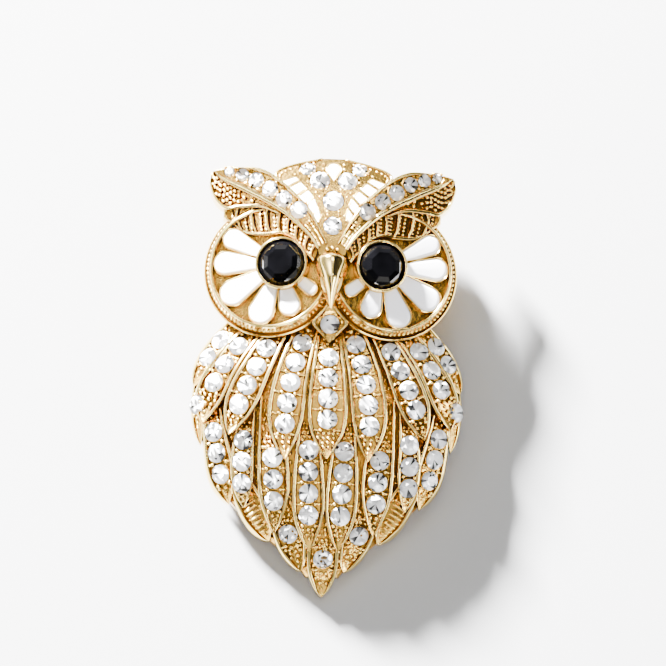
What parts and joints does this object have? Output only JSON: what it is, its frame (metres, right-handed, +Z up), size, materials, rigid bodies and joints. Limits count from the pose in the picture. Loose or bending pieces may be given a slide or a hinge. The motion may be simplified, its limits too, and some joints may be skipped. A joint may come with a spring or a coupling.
{
  "type": "owl brooch",
  "caption": "Owl brooch: a gold plated hollow casting with layered feathers, set with clear cut stones, black eyes and white enamel, with a bar pin across its back.",
  "frame": {"origin": "middle of the bottom of the whole brooch as it lies on its back", "axes": "+X to the owl's left ear as seen by the viewer on the right, +Y from the tail to the head, +Z up through the face"},
  "size_m": [0.0344, 0.0554, 0.0137],
  "materials": {
    "gold": "polished pale gold plate",
    "clear_stone": "cut and foiled",
    "black_stone": "cut and polished",
    "white_enamel": "glossy"
  },
  "bodies": {
    "root": {"casting": "gold", "eye_left": "black_stone", "eye_right": "black_stone", "petal_left_1": "white_enamel", "petal_left_2": "white_enamel", "petal_left_3": "white_enamel", "petal_left_4": "white_enamel", "petal_left_5": "white_enamel", "petal_left_6": "white_enamel", "petal_right_1": "white_enamel", "petal_right_2": "white_enamel", "petal_right_3": "white_enamel", "petal_right_4": "white_enamel", "petal_right_5": "white_enamel", "petal_right_6": "white_enamel", "crown_drop": "white_enamel", "crown_enamel_left": "white_enamel", "crown_enamel_right": "white_enamel", "crown_stone_1": "clear_stone", "crown_stone_2": "clear_stone", "crown_stone_3": "clear_stone", "crown_stone_4": "clear_stone", "crown_stone_5": "clear_stone", "crown_stone_6": "clear_stone", "brow_stone_left_1": "clear_stone", "brow_stone_left_2": "clear_stone", "brow_stone_left_3": "clear_stone", "brow_stone_left_4": "clear_stone", "brow_stone_left_5": "clear_stone", "brow_stone_left_6": "clear_stone", "brow_stone_right_1": "clear_stone", "brow_stone_right_2": "clear_stone", "brow_stone_right_3": "clear_stone", "brow_stone_right_4": "clear_stone", "brow_stone_right_5": "clear_stone", "brow_stone_right_6": "clear_stone", "throat_stone": "clear_stone", "breast_stones": "clear_stone", "tail_stones": "clear_stone", "pin_back": "gold"}
  },
  "joints": []
}
